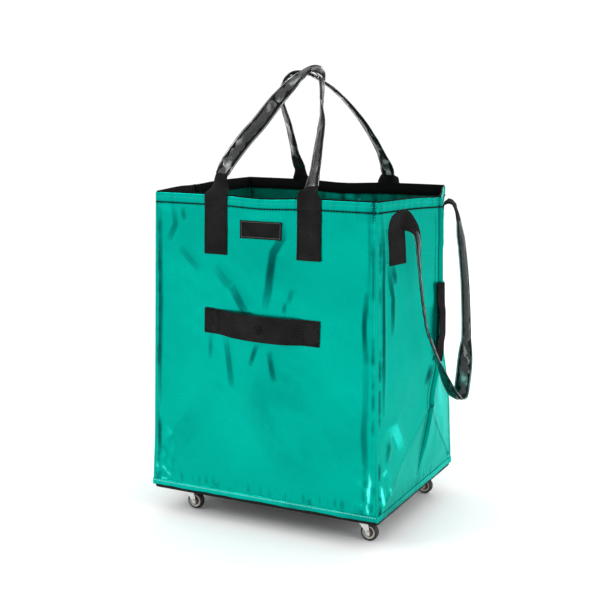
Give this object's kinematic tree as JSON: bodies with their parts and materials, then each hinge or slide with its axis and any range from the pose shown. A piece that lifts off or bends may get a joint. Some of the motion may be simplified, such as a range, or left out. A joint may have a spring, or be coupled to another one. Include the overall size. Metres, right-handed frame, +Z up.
{
  "type": "rolling tote trolley",
  "caption": "Open-topped upright bag of glossy coated cloth on a stiff base with swivel casters, with carrying loops, a pull strap and grab straps.",
  "frame": {"origin": "on the floor under the middle of the bounding box, which the pull strap moves 25 mm to the right of the bag's own middle", "axes": "+Z up, -Y towards the front panel, +X towards the side with the pull strap"},
  "size_m": [0.584, 0.3857, 0.8357],
  "materials": {
    "coated_cloth": "teal metallic-film laminate on woven cloth, glossy and creased",
    "black_webbing": "matt black herringbone webbing",
    "black_cloth": "matt black woven cloth",
    "clear_vinyl": "clear glossy vinyl sleeve",
    "label": "plain black woven patch",
    "black_metal": "black lacquered press stud",
    "black_steel": "satin black powder coat",
    "board": "stiff black plastic board",
    "zinc": "bright zinc-plated stamped steel",
    "hub": "cream moulded wheel centre with a brown bearing ring",
    "tyre": "black rubber tread"
  },
  "bodies": {
    "bag": {"front_panel": "coated_cloth", "back_panel": "coated_cloth", "left_panel": "coated_cloth", "right_panel": "coated_cloth", "corner_seam_front_left": "coated_cloth", "corner_seam_front_right": "coated_cloth", "corner_seam_back_left": "coated_cloth", "corner_seam_back_right": "coated_cloth", "left_crease_seam": "coated_cloth", "right_crease_seam": "coated_cloth", "rim_webbing": "black_webbing", "base_hem": "coated_cloth", "base_cover": "black_cloth", "caster_rail_front": "black_steel", "caster_rail_rear": "black_steel", "base_board": "board", "floor_liner": "coated_cloth", "label_patch": "label", "front_handle_tab_left": "black_webbing", "front_handle_tab_right": "black_webbing", "rear_handle_tab_left": "black_webbing", "rear_handle_tab_right": "black_webbing", "pull_strap_tab_front": "black_webbing", "pull_strap_tab_rear": "black_webbing", "front_grab_strap": "black_webbing", "back_grab_strap": "black_webbing", "left_grab_strap": "black_webbing", "right_grab_strap": "black_webbing", "front_press_stud": "black_metal", "caster_front_left_plate": "zinc", "caster_front_left_kingpin": "zinc", "caster_front_right_plate": "zinc", "caster_front_right_kingpin": "zinc", "caster_rear_left_plate": "zinc", "caster_rear_left_kingpin": "zinc", "caster_rear_right_plate": "zinc", "caster_rear_right_kingpin": "zinc"},
    "caster_front_left_swivel": {"caster_front_left_fork": "zinc", "caster_front_left_axle": "zinc"},
    "caster_front_left_wheel": {"caster_front_left_hub": "hub", "caster_front_left_tyre": "tyre"},
    "caster_front_right_swivel": {"caster_front_right_fork": "zinc", "caster_front_right_axle": "zinc"},
    "caster_front_right_wheel": {"caster_front_right_hub": "hub", "caster_front_right_tyre": "tyre"},
    "caster_rear_left_swivel": {"caster_rear_left_fork": "zinc", "caster_rear_left_axle": "zinc"},
    "caster_rear_left_wheel": {"caster_rear_left_hub": "hub", "caster_rear_left_tyre": "tyre"},
    "caster_rear_right_swivel": {"caster_rear_right_fork": "zinc", "caster_rear_right_axle": "zinc"},
    "caster_rear_right_wheel": {"caster_rear_right_hub": "hub", "caster_rear_right_tyre": "tyre"},
    "front_handle": {"front_handle_webbing": "black_webbing", "front_handle_sleeve": "clear_vinyl"},
    "rear_handle": {"rear_handle_webbing": "black_webbing", "rear_handle_sleeve": "clear_vinyl"},
    "pull_strap": {"pull_strap_webbing": "black_webbing", "pull_strap_sleeve": "clear_vinyl"}
  },
  "joints": [
    {"name": "caster_front_left_swivel_turn", "type": "hinge", "parent": "bag", "child": "caster_front_left_swivel", "pos_m": [-0.2049, -0.137, 0.0423], "axis": [0, 0, 1], "continuous": true},
    {"name": "caster_front_left_wheel_roll", "type": "hinge", "parent": "caster_front_left_swivel", "child": "caster_front_left_wheel", "pos_m": [-0.1909, -0.137, 0.016], "axis": [0, 1, 0], "continuous": true},
    {"name": "caster_front_right_swivel_turn", "type": "hinge", "parent": "bag", "child": "caster_front_right_swivel", "pos_m": [0.1551, -0.137, 0.0423], "axis": [0, 0, 1], "continuous": true},
    {"name": "caster_front_right_wheel_roll", "type": "hinge", "parent": "caster_front_right_swivel", "child": "caster_front_right_wheel", "pos_m": [0.1691, -0.137, 0.016], "axis": [0, 1, 0], "continuous": true},
    {"name": "caster_rear_left_swivel_turn", "type": "hinge", "parent": "bag", "child": "caster_rear_left_swivel", "pos_m": [-0.2049, 0.137, 0.0423], "axis": [0, 0, 1], "continuous": true},
    {"name": "caster_rear_left_wheel_roll", "type": "hinge", "parent": "caster_rear_left_swivel", "child": "caster_rear_left_wheel", "pos_m": [-0.1909, 0.137, 0.016], "axis": [0, 1, 0], "continuous": true},
    {"name": "caster_rear_right_swivel_turn", "type": "hinge", "parent": "bag", "child": "caster_rear_right_swivel", "pos_m": [0.1551, 0.137, 0.0423], "axis": [0, 0, 1], "continuous": true},
    {"name": "caster_rear_right_wheel_roll", "type": "hinge", "parent": "caster_rear_right_swivel", "child": "caster_rear_right_wheel", "pos_m": [0.1691, 0.137, 0.016], "axis": [0, 1, 0], "continuous": true},
    {"name": "front_handle_fold", "type": "hinge", "parent": "bag", "child": "front_handle", "pos_m": [-0.0249, -0.1782, 0.604], "axis": [1, 0, 0], "range_deg": [0, 184]},
    {"name": "rear_handle_fold", "type": "hinge", "parent": "bag", "child": "rear_handle", "pos_m": [-0.0249, 0.1782, 0.604], "axis": [-1, 0, 0], "range_deg": [0, 184]},
    {"name": "pull_strap_swing", "type": "hinge", "parent": "bag", "child": "pull_strap", "pos_m": [0.2321, 0, 0.57], "axis": [0, -1, 0], "range_deg": [0, 150]}
  ]
}
